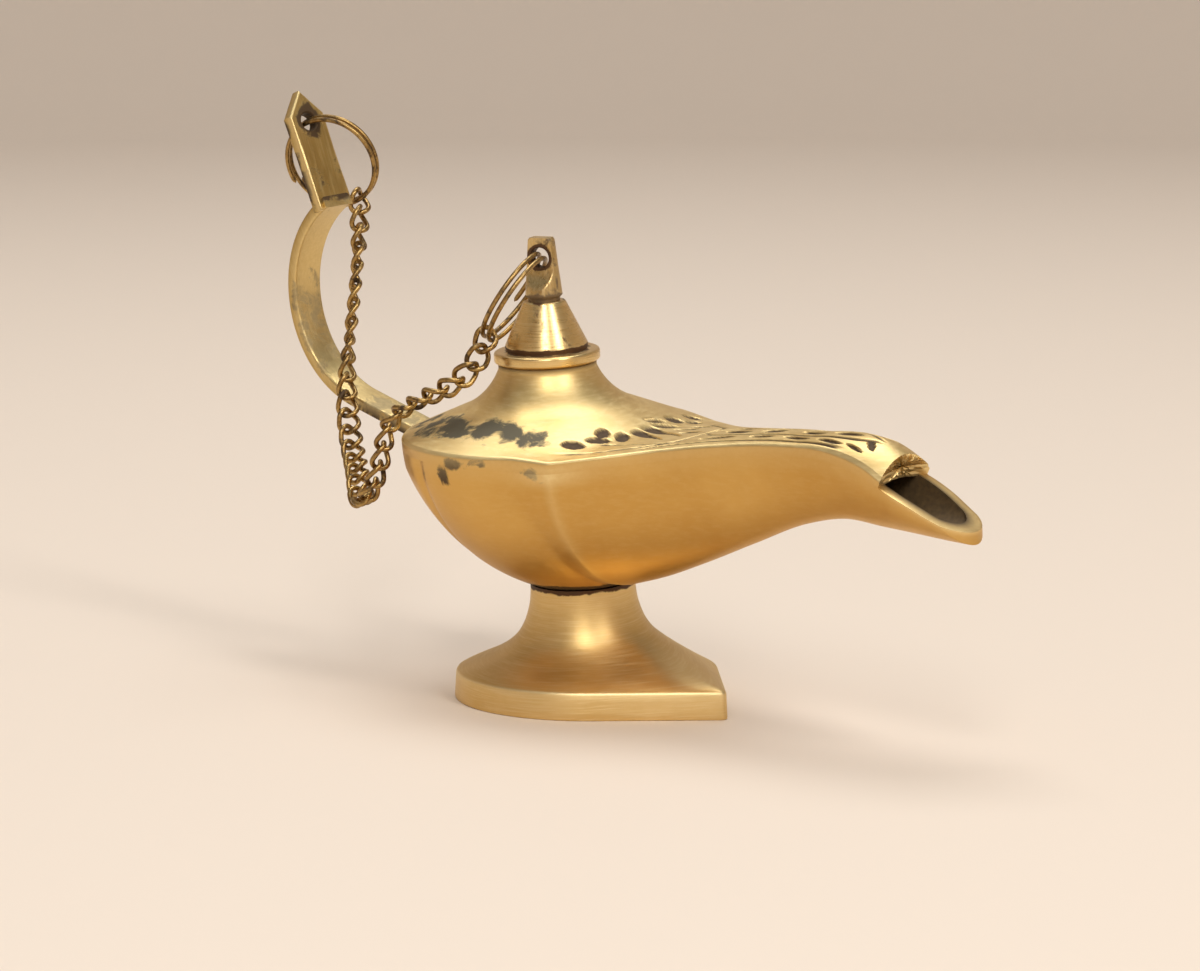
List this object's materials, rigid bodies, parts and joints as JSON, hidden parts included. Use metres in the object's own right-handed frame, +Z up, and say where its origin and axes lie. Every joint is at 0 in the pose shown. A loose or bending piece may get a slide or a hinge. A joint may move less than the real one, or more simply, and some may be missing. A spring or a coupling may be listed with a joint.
{
  "type": "oil lamp",
  "caption": "Cast brass spouted oil lamp on a teardrop foot, with a curved strap handle and a lift-off conical lid that hangs on a curb chain between two split rings.",
  "frame": {"origin": "centre of the round part of the foot's outline, on the plane the lamp stands on", "axes": "+Z up, +X towards the spout, +Y to the left of the spout seen from behind"},
  "size_m": [0.1594, 0.053, 0.105],
  "materials": {
    "cast_brass": "satin",
    "engraved_brass": "satin with dark engraved recesses",
    "turned_brass": "brushed",
    "aged_brass_wire": "aged"
  },
  "bodies": {
    "lamp": {"foot": "cast_brass", "bowl": "cast_brass", "deck": "engraved_brass", "handle": "cast_brass"},
    "lid": {"lid": "turned_brass", "finial": "turned_brass"},
    "handle_ring": {"handle_ring": "aged_brass_wire"},
    "lid_ring": {"lid_ring": "aged_brass_wire"},
    "chain_01_03": {"chain_link_01": "aged_brass_wire", "chain_link_02": "aged_brass_wire", "chain_link_03": "aged_brass_wire"},
    "chain_04_06": {"chain_link_04": "aged_brass_wire", "chain_link_05": "aged_brass_wire", "chain_link_06": "aged_brass_wire"},
    "chain_07_09": {"chain_link_07": "aged_brass_wire", "chain_link_08": "aged_brass_wire", "chain_link_09": "aged_brass_wire"},
    "chain_10_12": {"chain_link_10": "aged_brass_wire", "chain_link_11": "aged_brass_wire", "chain_link_12": "aged_brass_wire"},
    "chain_13_15": {"chain_link_13": "aged_brass_wire", "chain_link_14": "aged_brass_wire", "chain_link_15": "aged_brass_wire"},
    "chain_16_18": {"chain_link_16": "aged_brass_wire", "chain_link_17": "aged_brass_wire", "chain_link_18": "aged_brass_wire"},
    "chain_30_32": {"chain_link_30": "aged_brass_wire", "chain_link_31": "aged_brass_wire", "chain_link_32": "aged_brass_wire"},
    "chain_27_29": {"chain_link_27": "aged_brass_wire", "chain_link_28": "aged_brass_wire", "chain_link_29": "aged_brass_wire"},
    "chain_24_26": {"chain_link_24": "aged_brass_wire", "chain_link_25": "aged_brass_wire", "chain_link_26": "aged_brass_wire"},
    "chain_21_23": {"chain_link_21": "aged_brass_wire", "chain_link_22": "aged_brass_wire", "chain_link_23": "aged_brass_wire"},
    "chain_19_20": {"chain_link_19": "aged_brass_wire", "chain_link_20": "aged_brass_wire"}
  },
  "joints": [
    {"name": "lid_lift", "type": "slide", "parent": "lamp", "child": "lid", "axis": [0, -0.0698, 0.9976], "range_m": [0, 0.025]},
    {"name": "handle_ring_swing", "type": "hinge", "parent": "lamp", "child": "handle_ring", "pos_m": [-0.06453, -0.0066, 0.09899], "axis": [-0.8776, -0.1588, -0.4524], "range_deg": [-1, 2.49]},
    {"name": "lid_ring_swing", "type": "hinge", "parent": "lid", "child": "lid_ring", "pos_m": [-0.006, -0.00515, 0.07832], "axis": [-0.5738, 0.7674, -0.286], "range_deg": [-1, 3.98]},
    {"name": "chain_01_03_turn", "type": "hinge", "parent": "handle_ring", "child": "chain_01_03", "pos_m": [-0.05872, 0.0014, 0.08492], "axis": [0.8838, 0.165, 0.4379], "range_deg": [-1, 17.49]},
    {"name": "chain_04_06_turn", "type": "hinge", "parent": "chain_01_03", "child": "chain_04_06", "pos_m": [-0.05596, -0.00155, 0.07654], "axis": [-0.8472, -0.4953, 0.1922], "range_deg": [-1, 16.49]},
    {"name": "chain_07_09_turn", "type": "hinge", "parent": "chain_04_06", "child": "chain_07_09", "pos_m": [-0.0546, -0.00426, 0.06649], "axis": [-0.5361, -0.5226, 0.6629], "range_deg": [-1, 21.17]},
    {"name": "chain_10_12_turn", "type": "hinge", "parent": "chain_07_09", "child": "chain_10_12", "pos_m": [-0.05339, -0.00697, 0.05642], "axis": [-0.6924, 0.6487, 0.3158], "range_deg": [-1, 20.01]},
    {"name": "chain_13_15_turn", "type": "hinge", "parent": "chain_10_12", "child": "chain_13_15", "pos_m": [-0.05022, -0.01021, 0.047], "axis": [-0.5508, 0.4838, -0.6801], "range_deg": [-1, 15.68]},
    {"name": "chain_16_18_turn", "type": "hinge", "parent": "chain_13_15", "child": "chain_16_18", "pos_m": [-0.04402, -0.01462, 0.03989], "axis": [-0.3398, -0.693, -0.6359], "range_deg": [-1, 12.8]},
    {"name": "chain_30_32_turn", "type": "hinge", "parent": "lid_ring", "child": "chain_30_32", "pos_m": [-0.01102, -0.01406, 0.06449], "axis": [0.6298, -0.7248, 0.2793], "range_deg": [-1, 21.89]},
    {"name": "chain_27_29_turn", "type": "hinge", "parent": "chain_30_32", "child": "chain_27_29", "pos_m": [-0.01305, -0.0188, 0.05714], "axis": [-0.0784, -0.9769, -0.1989], "range_deg": [-1, 29.78]},
    {"name": "chain_24_26_turn", "type": "hinge", "parent": "chain_27_29", "child": "chain_24_26", "pos_m": [-0.02205, -0.02135, 0.05248], "axis": [-0.7162, 0.5919, -0.3698], "range_deg": [-1, 29.72]},
    {"name": "chain_21_23_turn", "type": "hinge", "parent": "chain_24_26", "child": "chain_21_23", "pos_m": [-0.02758, -0.0234, 0.04455], "axis": [-0.9357, 0.3307, -0.1231], "range_deg": [-1, 27.58]},
    {"name": "chain_19_20_turn", "type": "hinge", "parent": "chain_21_23", "child": "chain_19_20", "pos_m": [-0.03119, -0.02396, 0.035], "axis": [-0.517, -0.7522, 0.4086], "range_deg": [-1, 29.88]}
  ],
  "couplings": [
    {"joint": "handle_ring_swing", "follows": "lid_lift", "rad_per_m": 1.0378},
    {"joint": "lid_ring_swing", "follows": "lid_lift", "rad_per_m": 2.0777},
    {"joint": "chain_01_03_turn", "follows": "lid_lift", "rad_per_m": 11.512},
    {"joint": "chain_04_06_turn", "follows": "lid_lift", "rad_per_m": 10.813},
    {"joint": "chain_07_09_turn", "follows": "lid_lift", "rad_per_m": 14.083},
    {"joint": "chain_10_12_turn", "follows": "lid_lift", "rad_per_m": 13.268},
    {"joint": "chain_13_15_turn", "follows": "lid_lift", "rad_per_m": 10.25},
    {"joint": "chain_16_18_turn", "follows": "lid_lift", "rad_per_m": 8.2397},
    {"joint": "chain_30_32_turn", "follows": "lid_lift", "rad_per_m": 14.585},
    {"joint": "chain_27_29_turn", "follows": "lid_lift", "rad_per_m": 20.09},
    {"joint": "chain_24_26_turn", "follows": "lid_lift", "rad_per_m": 20.051},
    {"joint": "chain_21_23_turn", "follows": "lid_lift", "rad_per_m": 18.553},
    {"joint": "chain_19_20_turn", "follows": "lid_lift", "rad_per_m": 20.16}
  ]
}
